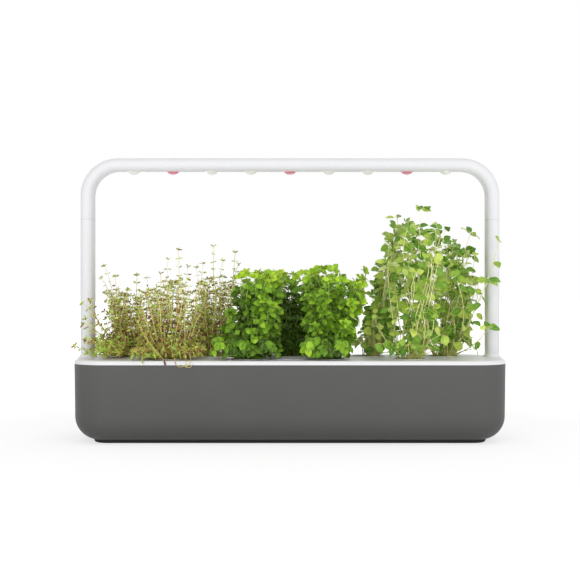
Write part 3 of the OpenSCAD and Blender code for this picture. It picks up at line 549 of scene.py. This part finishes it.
herbs = {
    "thyme": {
        "pods": (1, 2, 3), "slot": "thyme", "seed": 11,
        # outline from the front as (x, height), and each pod's sides as (share of the height, left, right)
        "topLine": [(-0.31, 0.2), (-0.27, 0.218), (-0.2, 0.222), (-0.165, 0.24), (-0.06, 0.238)],
        "sides": {1: [(0, -0.054, 0.05), (1, -0.05, 0.05)], 2: [(0, -0.052, 0.048), (1, -0.05, 0.052)],
                  3: [(0, -0.05, -0.014), (1, -0.03, 0.036)]},
        "fringe": 46,           # thin stems of old leaves that hang down to the lid
        "stems": 96,
        "lowest": 0.03,         # the lowest tip, as a share of the height
        "lowBias": 0.62,        # below 1 there are more high tips, above 1 more low ones
        "spread": 0.4,          # below 1 more tips stand at the outside
        "outFirst": 0.6,        # how far outwards a stem goes before it turns up
        "sideways": 0.45,       # how much its tip leans outwards
        "inner": 0.0,           # painted shade: how much darker the leaves inside the plant are
        # bare: share of a stem without leaves; rosette: pairs of leaves at its tip; tones: tone, how often
        "stem": {"width": 0.0014, "bare": 0.16, "internode": 0.0088, "leaf": (0.007, 0.0105),
                 "sway": 0.17, "rosette": 2,
                 "tones": [(0.06, 0.26), (0.3, 0.2), (0.55, 0.3), (0.75, 0.16), (0.95, 0.12)]},
        "leader": {"internode": 0.0115, "leaf": (0.0075, 0.0105), "sway": 0.05, "bare": 0.3},
        "creeper": {"internode": 0.008, "leaf": (0.008, 0.0115), "bare": 0.3, "sway": 0.05,
                    "tones": [(0.85, 0.5), (0.7, 0.5)], "rosette": 3},
        "sprouts": 100,         # short young stems
        "sproutHeight": (0.003, 0.03),
        "sprout": {"leaf": (0.007, 0.011), "bare": 0.3, "rosette": 2, "sway": 0.1,
                   "tones": [(0.3, 0.35), (0.5, 0.3), (0.8, 0.35)]},
        "cornerShare": (0.5, 0.06),     # of low and of high tips, those in the front corner of the lid
        "tipLeaf": 0.6,         # size of a stem's last leaf, as a share of its first
        "rise": (0, 30),        # degrees by which leaves rise at a stem's foot and at its tip
        "droop": 0.35,
        "petiole": 0.0006,      # length of a leaf's stalk
        "footSpread": 0.8,      # share of the plug that stems start from
        "axil": 1,              # young leaves beside every second pair
        "young": 0.15,          # how much paler the topmost leaves are
        "stemShift": (-0.2, 0.14),      # how much darker or paler all leaves of one stem are
        "facing": {"up": 0.4, "out": 0.3, "front": 0.3, "chance": 0.8},     # where upper faces turn
        "upper": [(0.0, "#621a2c"), (0.15, "#803040"), (0.3, "#a08420"), (0.5, "#8ea848"),
                  (0.75, "#a0c034"), (1.0, "#d4e46c")],
        "under": [(0.0, "#9a4456"), (0.3, "#bca444"), (0.6, "#b4c878"), (1.0, "#dce898")],
        "stemColours": ("#dcc050", "#f4eca0"),
        # tips of single tall and single low stems
        "leaders": {
            1: [(-0.275, 0.01, 0.254), (-0.283, 0.03, 0.236), (-0.26, 0.015, 0.238),
                (-0.228, 0.02, 0.24), (-0.215, 0.03, 0.236), (-0.298, -0.045, 0.2),
                (-0.292, -0.055, 0.178), (-0.3, -0.05, 0.152)],
            2: [(-0.186, -0.045, 0.242), (-0.175, -0.05, 0.262), (-0.161, -0.045, 0.276),
                (-0.147, -0.04, 0.252), (-0.125, -0.045, 0.256)],
            3: [(-0.116, 0.045, 0.284), (-0.083, 0.045, 0.275), (-0.078, 0.04, 0.257),
                (-0.142, 0.05, 0.252), (-0.1, 0.03, 0.262)],
        },
        "trails": {
            # tone and length of the leaf, its heading, then the four points of the stem's curve
            2: [(0.02, 0.0095, (0.3, -0.25, -1), [(-0.206, -0.07, 0.16), (-0.2, -0.088, 0.142),
                                                  (-0.184, -0.0945, 0.128), (-0.176, -0.096, 0.1205)]),
                (0.45, 0.014, (0.1, -0.1, -1), [(-0.196, -0.05, 0.122), (-0.2, -0.08, 0.14),
                                                (-0.206, -0.094, 0.137), (-0.207, -0.0955, 0.1285)]),
                (0.6, 0.011, (-0.4, -0.1, -1), [(-0.196, -0.05, 0.122), (-0.21, -0.08, 0.138),
                                                (-0.216, -0.093, 0.136), (-0.219, -0.0945, 0.13)]),
                (0.1, 0.006, (0.2, -0.1, -1), [(-0.17, -0.06, 0.124), (-0.165, -0.08, 0.132),
                                               (-0.162, -0.094, 0.127), (-0.161, -0.0955, 0.1195)]),
                (0, 0, (0, 0, -1), [(-0.158, -0.06, 0.124), (-0.166, -0.099, 0.125),
                                    (-0.158, -0.098, 0.104), (-0.148, -0.095, 0.113)]),
                (0, 0, (0, 0, -1), [(-0.148, -0.06, 0.124), (-0.139, -0.1, 0.137),
                                    (-0.133, -0.098, 0.108), (-0.15, -0.0955, 0.112)]),
                (0, 0, (0, 0, -1), [(-0.15, -0.06, 0.124), (-0.15, -0.1, 0.118),
                                    (-0.14, -0.099, 0.1), (-0.136, -0.0955, 0.117)]),
                (0, 0, (0, 0, -1), [(-0.156, -0.06, 0.124), (-0.136, -0.098, 0.128),
                                    (-0.152, -0.099, 0.106), (-0.142, -0.0955, 0.111)])],
        },
        "creepers": {
            1: [(-0.272, -0.055, 0.137), (-0.285, -0.06, 0.14), (-0.262, -0.05, 0.13),
                (-0.29, -0.055, 0.128), (-0.276, -0.065, 0.127), (-0.268, -0.07, 0.134),
                (-0.253, -0.06, 0.128), (-0.245, -0.05, 0.132)],
            2: [(-0.215, -0.082, 0.128), (-0.2, -0.086, 0.125), (-0.222, -0.075, 0.131),
                (-0.188, -0.084, 0.129)],
        },
    },
    "bush": {
        "pods": (4, 5, 6), "slot": "basil", "seed": 23,
        "topLine": [(-0.12, 0.236), (-0.085, 0.244), (-0.055, 0.247), (-0.035, 0.242), (0.01, 0.244),
                    (0.03, 0.247), (0.055, 0.25), (0.08, 0.244), (0.12, 0.246)],
        "sides": {4: [(0, -0.052, 0.042), (1, -0.008, 0.042)], 5: [(0, -0.04, 0.04), (1, -0.052, 0.052)],
                  6: [(0, -0.036, 0.024), (1, -0.036, 0.055)]},
        "fringe": 34,
        "stems": 105, "lowest": 0.06, "lowBias": 0.58, "spread": 0.2, "outFirst": 0.5,
        "sideways": 0.8, "inner": 0.5,
        "stem": {"width": 0.0014, "bare": 0.35, "internode": 0.0095, "leaf": (0.012, 0.0185), "sway": 0.08,
                 "rosette": 3, "tones": [(0.3, 0.25), (0.46, 0.4), (0.6, 0.35)]},
        "older": {5: 0.34, 6: -0.08},       # painted shade: how much darker the leaves below the topmost are; a negative value paints light, making them paler
        "sprouts": 22, "sproutHeight": (0.004, 0.03),
        "sprout": {"leaf": (0.013, 0.019), "bare": 0.3, "rosette": 1, "sway": 0.1,
                   "tones": [(0.1, 0.4), (0.4, 0.6)]},
        "tipLeaf": 0.62, "rise": (-25, 25), "droop": 0.55, "petiole": 0.0015, "footSpread": 0.6, "axil": 1,
        "young": 0.24, "stemShift": (-0.06, 0.06),
        "facing": {"up": 0.35, "out": 0.6, "front": 0.35, "chance": 0.5},
        "upper": [(0.0, "#2c4c0c"), (0.25, "#5e8e18"), (0.5, "#8cbc28"), (0.75, "#b8d834"),
                  (1.0, "#e2f050")],
        "under": [(0.0, "#74923c"), (0.5, "#a8c45a"), (1.0, "#d8ec6c")],
        "stemColours": ("#7c9c40", "#b8d268"),
    },
    "oregano": {
        "pods": (7, 8, 9), "slot": "oregano", "seed": 37,
        "topLine": [(0.07, 0.2), (0.105, 0.22), (0.141, 0.28), (0.16, 0.312), (0.19, 0.32),
                    (0.225, 0.3), (0.262, 0.285), (0.3, 0.255)],
        "sides": {7: [(0, -0.014, 0.052), (1, 0.03, 0.054)], 8: [(0, -0.05, 0.05), (1, -0.008, 0.05)],
                  9: [(0, -0.05, 0.05), (1, -0.05, 0.055)]},
        "fringe": 9,
        "stems": 34, "lowest": 0.3, "lowBias": 0.42, "spread": 0.4, "outFirst": 0.5,
        "sideways": 0.4, "inner": 0.0,
        "stem": {"width": 0.0015, "bare": 0.3, "internode": 0.027, "leaf": (0.0145, 0.021), "sway": 0.3,
                 "rosette": 1, "tones": [(0.1, 0.35), (0.45, 0.4), (0.8, 0.25)]},
        "leader": {"sway": 0.1},
        "sprouts": 8, "sproutHeight": (0.01, 0.06), "cornerShare": (0.06, 0.1),
        # painted light: the leaves below the topmost are made paler
        "older": {7: -0.15, 8: -0.15, 9: -0.15},
        "sprout": {"leaf": (0.012, 0.018), "sway": 0.15},
        "tipLeaf": 0.75, "rise": (0, 25), "droop": 0.75, "petiole": 0.005, "footSpread": 0.6, "axil": 0,
        "young": 0.0, "stemShift": (-0.06, 0.06),
        "facing": {"up": 0.3, "out": 0.3, "front": 0.5, "chance": 0.9},
        "upper": [(0.0, "#447a1a"), (0.4, "#6c9f2c"), (0.7, "#96b83e"), (1.0, "#cbdf66")],
        "under": [(0.0, "#98b456"), (0.5, "#bad070"), (1.0, "#dcea96")],
        "stemColours": ("#d8dc70", "#f0f2ac"),
        "leaders": {
            7: [(0.148, 0.045, 0.294), (0.162, 0.04, 0.328), (0.128, 0.05, 0.226), (0.105, 0.04, 0.2)],
            8: [(0.19, -0.045, 0.335), (0.224, -0.04, 0.306), (0.173, -0.05, 0.296),
                (0.141, -0.045, 0.258)],
            9: [(0.27, 0.02, 0.304), (0.3, -0.05, 0.29), (0.298, -0.05, 0.266), (0.285, -0.05, 0.232),
                (0.285, -0.05, 0.166), (0.275, 0.015, 0.276), (0.246, 0.02, 0.29)],
        },
    },
}

room = {
    "ground": 0.1205,       # no leaf reaches lower than just above the cups' rims
    "halfWidth": 0.0565,    # half the width of a pod's own space
    "near": 0.0015,         # its nearest and farthest point from the unit's long middle line
    "far": 0.0905,
    "end": 0.309,           # no leaf reaches farther to the left or to the right
    "armGap": 0.0235,       # keeps leaves out of the way of the arms
    "armSide": 0.2875,
    "mouth": 0.021,         # radius of a cup's mouth, where its stems may pass
    "cornerPods": (1, 9),   # these also fill the front corner of the lid ...
    "cornerSide": 0.232,    # ... from here to the end ...
    "cornerBack": 0.03,     # ... and from here to the front
    "cornerTips": ((0.235, 0.306), (-0.088, 0.03)),     # where their stems' tips may stand there
    "cornerKnee": (0.27, 0.03),     # where the stems bend on their way round the pod in front
}


def lineAt(points, x):
    # height of a line through points at x
    if x <= points[0][0]:
        return points[0][1]
    for (x0, y0), (x1, y1) in zip(points, points[1:]):
        if x <= x1:
            return y0 + (y1 - y0) * (x - x0) / (x1 - x0)
    return points[-1][1]


def hasRoom(pod, centre, place):
    # True where the place lies in the pod's own space, so that pods lift past each other
    x, y = abs(place.x), place.y
    row = 1 if centre.y > 0 else -1
    own = abs(place.x - centre.x) < room["halfWidth"] and room["near"] < row * y < room["far"]
    corner = pod in room["cornerPods"] and x > room["cornerSide"] and -room["far"] < y < room["cornerBack"]
    clearOfArm = x < room["armSide"] or abs(y) > room["armGap"]
    return (own or corner) and clearOfArm and x < room["end"] and place.z > room["ground"]


def bezier(foot, knee, shoulder, tip, steps):
    points = []
    for step in range(steps + 1):
        t = step / steps
        points.append(foot * (1 - t) ** 3 + knee * 3 * t * (1 - t) ** 2
                      + shoulder * 3 * t ** 2 * (1 - t) + tip * t ** 3)
    return points


growth = {
    "row": 0.045,           # from the unit's long middle line to the middle of a plant
    "halfWidth": 0.05,      # of a plant
    "halfDepth": 0.042,     # of the space that its tips fill
    "crown": 0.045,         # leaves this far below the top are inside the plant
    "freshTop": 0.01,       # the topmost leaves reach down this far ...
    "freshFade": 0.035,     # ... and pass into the others over this depth
    "fullHeight": 0.12,     # at this height above the ground stems point straight up
    "plug": 0.019,          # radius in which stems start
    "stray": 0.004,         # how far the foot of a stem strays
    "step": 0.01,           # length of one straight piece of a stem
    "tipGap": 0.004,        # tips stand at least this far above the ground
    "fringe": (0.07, 0.088),        # from the unit's long middle line to the fringe
    "wholeTurn": 6.28,
    "toneStray": 0.07,
    "turnStray": 0.3,       # in radians
    "riseStray": 12,        # in degrees
    "missing": 0.05,        # share of leaves that are missing
    "stalkSeen": 0.003,     # shorter leaf stalks aren't drawn
    "cornerStems": 1.3,     # times as many stems where a plant fills a corner too
    "tries": 6000,
}


def growHerb(pod, herb):
    # lays out one plant: the path of each stem, and the place and the tone of each leaf
    draw = random.Random(herb["seed"] * 100 + pod)
    low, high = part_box(f"cup_{pod}")
    centre = (low + high) / 2
    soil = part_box(f"soil_plug_{pod}")[1].z
    side = 1 if centre.y > 0 else -1
    corner = side > 0 and pod in room["cornerPods"]
    middle = Vector((centre.x, side * growth["row"], 0))
    up = Vector((0, 0, 1))
    paths, leaves = [], []

    def strayed(reach):
        return draw.uniform(-reach, reach)

    def levelOf(tip):
        # 0 at the ground, and 1 or more where stems point straight up
        return (tip.z - room["ground"]) / growth["fullHeight"]

    def toneFrom(tones, shift=0.0):
        pick = draw.random() * sum(weight for tone, weight in tones)
        for tone, weight in tones:
            pick -= weight
            if pick <= 0:
                break
        return min(max(tone + strayed(growth["toneStray"]) + shift, 0), 1)

    def outwards(place):
        return Vector((place.x - middle.x, place.y - middle.y, 0)) / growth["halfWidth"]

    def outside(place):
        # 1 on the outside of the plant and 0 in its middle, where painted shade darkens the leaves
        beside = min(1, outwards(place).length)
        below = (lineAt(herb["topLine"], place.x) - place.z) / growth["crown"]
        return max(beside ** 2, min(1, max(0, 1 - below)))

    def fresh(place):
        # 1 at the top of the plant, falling to 0 a little lower
        below = lineAt(herb["topLine"], place.x) - place.z - growth["freshTop"]
        return min(1, max(0, 1 - below / growth["freshFade"]))

    def isFree(path):
        return all(hasRoom(pod, centre, point) or (point - centre).xy.length < room["mouth"]
                   for point in path)

    def addLeaf(place, axis, length, tone, trailing=False):
        axis = axis.normalized()
        facing = herb["facing"]
        face = up * facing["up"] + outwards(place) * facing["out"] + Vector((0, -facing["front"], 0))
        face += Vector([strayed(1) for n in range(3)]) * facing["chance"]
        face -= axis * face.dot(axis)
        if face.length < 0.05:
            face = axis.orthogonal()
        face.normalize()
        across = axis.cross(face)
        tip = place + axis * length
        # its widest points
        sides = [place + axis * length * 0.4 + across * length * 0.3 * way for way in (-1, 1)]
        if not trailing and not all(hasRoom(pod, centre, spot) for spot in [place, tip] + sides):
            return
        turn = Matrix((across, axis, face)).transposed().to_4x4()
        size = Matrix.Diagonal((length * draw.uniform(0.88, 1.12), length, length, 1))
        # painted shade below the plant's top; a negative share paints light instead
        older = herb.get("older", {}).get(pod, 0)
        # painted shade darkens the leaves inside the plant
        tone -= herb["inner"] * (1 - outside(place)) + older * (1 - fresh(place))
        leaves.append((Matrix.Translation(place) @ turn @ size, min(max(tone, 0), 1)))

    def addRosette(tip, heading, style):
        # a tuft of young leaves at the end of a stem: a wide ring, then narrower ones
        turn = draw.uniform(0, growth["wholeTurn"])
        count = style["rosette"] * 2
        for n in range(count):
            around = heading.orthogonal().normalized()
            around.rotate(Matrix.Rotation(n * 2.4 + turn, 3, heading))      # 2.4 is the golden angle
            share = n / count
            addLeaf(tip, around + heading * (0.15 + 1.3 * share) - up * herb["droop"] * 0.3,
                    style["leaf"][0] * (0.95 - 0.35 * share),
                    toneFrom(style["tones"], herb["young"] * fresh(tip)))

    def stemPath(tip, style):
        # from the plug to the tip: it leaves outwards, then turns up or, at the side, out
        foot = Vector((centre.x, centre.y, soil - 0.002))
        reach = Vector((tip.x - foot.x, tip.y - foot.y, 0))
        spread = min(1, growth["plug"] / max(reach.length, 0.001)) * herb["footSpread"]
        foot += reach * spread + Vector((strayed(1), strayed(1), 0)) * growth["stray"]
        reach = Vector((tip.x - foot.x, tip.y - foot.y, 0))
        rise = tip.z - foot.z
        length = (tip - foot).length
        sway = Vector((strayed(1), strayed(1), strayed(0.3))) * style["sway"] * length
        heading = up * (0.25 + levelOf(tip)) + outwards(tip) * herb["sideways"] + sway.normalized() * 0.3
        knee = foot + reach * herb["outFirst"] + up * max(rise * 0.35, 0.006) + sway
        if side > 0 and tip.y < 0:      # round the pod in front, into the corner of the lid
            across, deep = room["cornerKnee"]
            knee = Vector((math.copysign(across, centre.x), deep, foot.z + rise * 0.3))
        knee.z = max(knee.z, room["ground"] + 0.01)
        shoulder = tip - heading.normalized() * length * 0.35 - sway * 0.5
        return bezier(foot, knee, shoulder, tip, max(5, int(length / growth["step"])))

    def addStem(tip, style):
        # a stem with its pairs of leaves and its tuft, where it has room
        path = stemPath(tip, style)
        if not isFree(path):
            return False
        steps = len(path) - 1
        width = style["width"]
        paths.append([(point, width * (1.15 - 0.6 * n / steps)) for n, point in enumerate(path)])
        total = sum((b - a).length for a, b in zip(path, path[1:]))
        count = max(1, int(total * (1 - style["bare"]) / style["internode"]))
        turn = draw.uniform(0, math.pi)
        shift = draw.uniform(*herb["stemShift"])
        flat, steep = herb["rise"]
        for number in range(count + 1):
            t = style["bare"] + (1 - style["bare"]) * number / count
            spot = t * steps
            here = min(int(spot), steps - 1)
            place = path[here].lerp(path[here + 1], spot - here)
            along = (path[here + 1] - path[here]).normalized()
            turn += math.radians(90) + strayed(growth["turnStray"])
            across = along.orthogonal().normalized()
            across.rotate(Matrix.Rotation(turn, 3, along))
            size = draw.uniform(*style["leaf"]) * (1 - (1 - herb["tipLeaf"]) * t ** 2)
            angle = math.radians(flat + (steep - flat) * t + strayed(growth["riseStray"]))
            for way in (across, -across):
                if draw.random() < growth["missing"]:
                    continue
                axis = way * math.cos(angle) + along * math.sin(angle)
                axis.z -= herb["droop"] * draw.uniform(0.2, 1.3)
                start = place + axis.normalized() * herb["petiole"]
                if herb["petiole"] > growth["stalkSeen"]:
                    paths.append([(place, width * 0.5), (start, width * 0.4)])
                length = size * draw.uniform(0.8, 1.1)
                addLeaf(start, axis, length, toneFrom(style["tones"], shift + 0.15 * t * levelOf(tip)))
            for n in range(herb["axil"] if number % 2 == 0 else 0):
                around = along.orthogonal().normalized()
                around.rotate(Matrix.Rotation(draw.uniform(0, growth["wholeTurn"]), 3, along))
                addLeaf(place, around + along * 0.9, size * 0.55,
                        toneFrom(style["tones"], shift + herb["young"] * fresh(place)))
        addRosette(tip, (path[-1] - path[-2]).normalized(), style)
        return True

    def spotAt(share):
        # a place for a stem's tip, at a share of the plant's height
        turn = draw.uniform(0, 2 * math.pi)
        reach = draw.random() ** herb["spread"] / (math.cos(turn) ** 4 + math.sin(turn) ** 4) ** 0.25
        left = lineAt([(height, left) for height, left, right in herb["sides"][pod]], share)
        right = lineAt([(height, right) for height, left, right in herb["sides"][pod]], share)
        x = middle.x + (left + right) / 2 + math.cos(turn) * reach * (right - left) / 2
        y = middle.y + math.sin(turn) * reach * growth["halfDepth"]
        if corner and draw.random() < herb["cornerShare"][0 if share < 0.35 else 1]:
            across, deep = room["cornerTips"]
            x = math.copysign(draw.uniform(*across), centre.x)
            y = draw.uniform(*deep)
        return x, y

    def hangFringe():
        # a thin stem of old leaves that hang down to the lid in front of the foot
        height, left, right = herb["sides"][pod][0]
        x = centre.x + draw.uniform(left - 0.003, right + 0.003)
        hang = draw.uniform(*herb["stem"]["leaf"]) * 0.85
        place = Vector((x, side * draw.uniform(*growth["fringe"]),
                        room["ground"] + hang * draw.uniform(1, 2.2)))
        foot = Vector((centre.x + (x - centre.x) * 0.3, centre.y + side * 0.012, soil))
        path = bezier(foot, foot + up * 0.02, place + up * 0.006 - Vector((0, side * 0.01, 0)), place, 6)
        if isFree(path):
            paths.append([(point, herb["stem"]["width"] * 0.8) for point in path])
            for down in (1.6, 0.4):
                axis = Vector((strayed(0.8), side * draw.uniform(-0.3, 0.1), -down))
                addLeaf(place, axis, hang * 0.96, toneFrom(herb["stem"]["tones"], -0.12))

    for tips, kind in (("leaders", "leader"), ("creepers", "creeper")):
        for spot in herb.get(tips, {}).get(pod, []):
            addStem(Vector(spot), {**herb["stem"], **herb[kind]})
    for n in range(herb["fringe"]):
        hangFringe()
    for tone, length, heading, points in herb.get("trails", {}).get(pod, []):
        # a stem that trails over the edge of the lid, with a leaf at its end
        points = [Vector(point) for point in points]
        paths.append([(point, herb["stem"]["width"] * 0.5) for point in bezier(*points, 14)])
        if length:
            addLeaf(points[-1], Vector(heading), length, tone, trailing=True)

    planted = 0
    lowest = room["ground"] + growth["tipGap"]
    for attempt in range(growth["tries"]):
        if planted >= herb["stems"] * (growth["cornerStems"] if corner else 1):
            break
        share = herb["lowest"] + (1 - herb["lowest"]) * draw.random() ** herb["lowBias"]
        x, y = spotAt(share)
        top = lineAt(herb["topLine"], x)
        tip = Vector((x, y, lowest + (top - room["ground"] - growth["tipGap"]) * share))
        if hasRoom(pod, centre, tip) and addStem(tip, herb["stem"]):
            planted += 1
    for n in range(herb["sprouts"]):
        tip = Vector((*spotAt(0), room["ground"] + draw.uniform(*herb["sproutHeight"])))
        if hasRoom(pod, centre, tip):
            addStem(tip, {**herb["stem"], **herb["sprout"]})
    return paths, leaves


def makeStems(name, paths, material):
    # stems as bevelled curves, then made a mesh
    curve = bpy.data.curves.new(name, "CURVE")
    curve.dimensions = "3D"
    curve.bevel_depth = 0.5
    curve.bevel_resolution = 0
    curve.use_fill_caps = True
    for path in paths:
        spline = curve.splines.new("POLY")
        spline.points.add(len(path) - 1)
        for point, (place, width) in zip(spline.points, path):
            point.co = (*place, 1)
            point.radius = width
    stems = bpy.data.objects.new(name, curve)
    bpy.context.collection.objects.link(stems)
    activate(stems)
    bpy.ops.object.convert(target="MESH")
    stems = bpy.context.object
    stems.data.materials.clear()
    stems.data.materials.append(material)
    bpy.ops.object.shade_smooth()
    return stems


def makeLeaves(name, template, leaves):
    # the leaf is repeated in one mesh by an array, then each copy is set in its place and given its tone
    activate(template)
    bpy.ops.object.duplicate()
    foliage = bpy.context.object
    foliage.name = name
    applyModifier(foliage, "ARRAY", count=len(leaves), use_relative_offset=False)
    corners = [corner.co.copy() for corner in template.data.vertices]
    spots, tones = [], []
    for place, tone in leaves:
        for corner in corners:
            spots.extend(place @ corner)
        tones.extend([tone] * len(corners))
    foliage.data.vertices.foreach_set("co", spots)
    foliage.data.attributes["leafTone"].data.foreach_set("value", tones)
    foliage.data.update()
    return foliage


for kind, herb in herbs.items():
    veinColour = herb["under"][-1][1]
    upper = leafFinish(kind + " leaf, upper face", herb["upper"], veinColour, leafSurface["roughUpper"])
    under = leafFinish(kind + " leaf, underside", herb["under"], veinColour, leafSurface["roughUnder"])
    stalk = stemFinish(kind + " stem", *herb["stemColours"])
    template = makeLeaf(kind + "Leaf", leafShapes[kind], upper, under)
    for pod in herb["pods"]:
        paths, leaves = growHerb(pod, herb)
        foliage = makeLeaves(f"{kind}_leaves_{pod}", template, leaves)
        stems = makeStems(f"{kind}_stems_{pod}", paths, stalk)
        for piece, part in ((foliage, "leaves"), (stems, "stems")):
            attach(piece, f"pod_{pod}")
            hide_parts(f"plant_{pod}")
        print(" ", kind, pod, len(leaves), "leaves", len(foliage.data.polygons), "faces")
    bpy.data.objects.remove(template)
